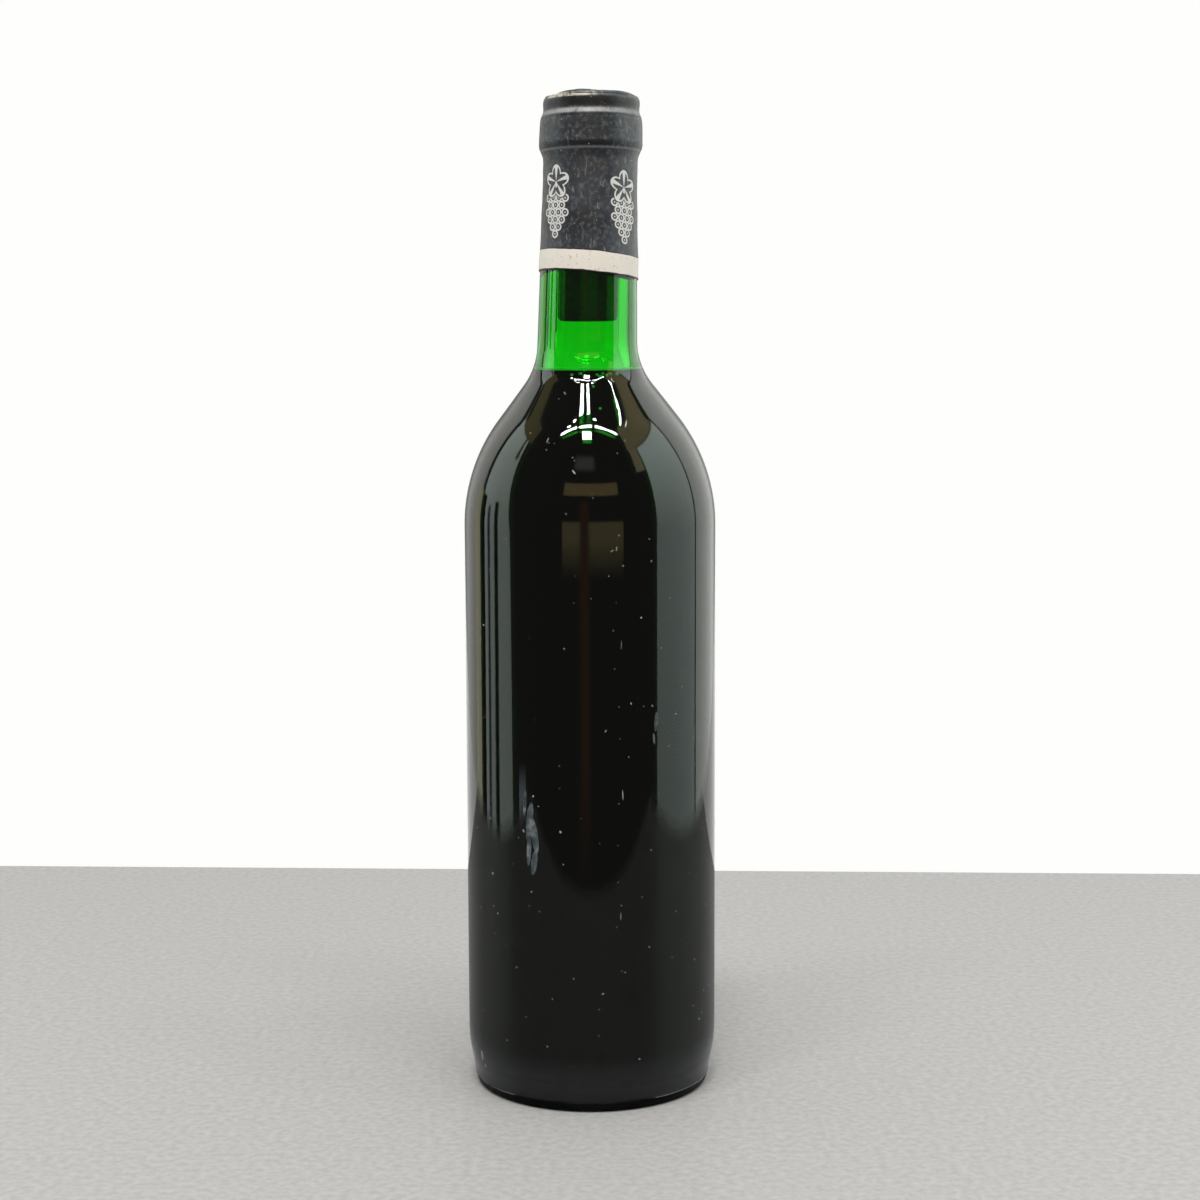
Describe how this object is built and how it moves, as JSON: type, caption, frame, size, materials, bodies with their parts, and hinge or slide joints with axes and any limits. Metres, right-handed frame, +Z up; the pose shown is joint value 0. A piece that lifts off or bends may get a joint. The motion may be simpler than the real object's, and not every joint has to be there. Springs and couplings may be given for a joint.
{
  "type": "wine bottle",
  "caption": "Corked green glass wine bottle with high shoulders, red wine to the foot of the neck, and a dark capsule with a cream band; stands upright.",
  "frame": {"origin": "centre of the ring that the bottle stands on, at the table", "axes": "+Z up along the bottle's axis, -Y to the front, where the capsule's lower edge is a little higher, +X to the right"},
  "size_m": [0.0764, 0.0764, 0.3012],
  "materials": {
    "green_glass": "clear polished bottle glass, dark green",
    "red_wine": "clear dark red liquid",
    "natural_cork": "bare natural cork with dark pores",
    "capsule_skin": "matt charcoal foil with a cream printed band and pale printed ornaments, scuffed and dusty"
  },
  "bodies": {
    "root": {"bottle_glass": "green_glass", "wine": "red_wine", "cork": "natural_cork", "capsule": "capsule_skin"}
  },
  "joints": []
}
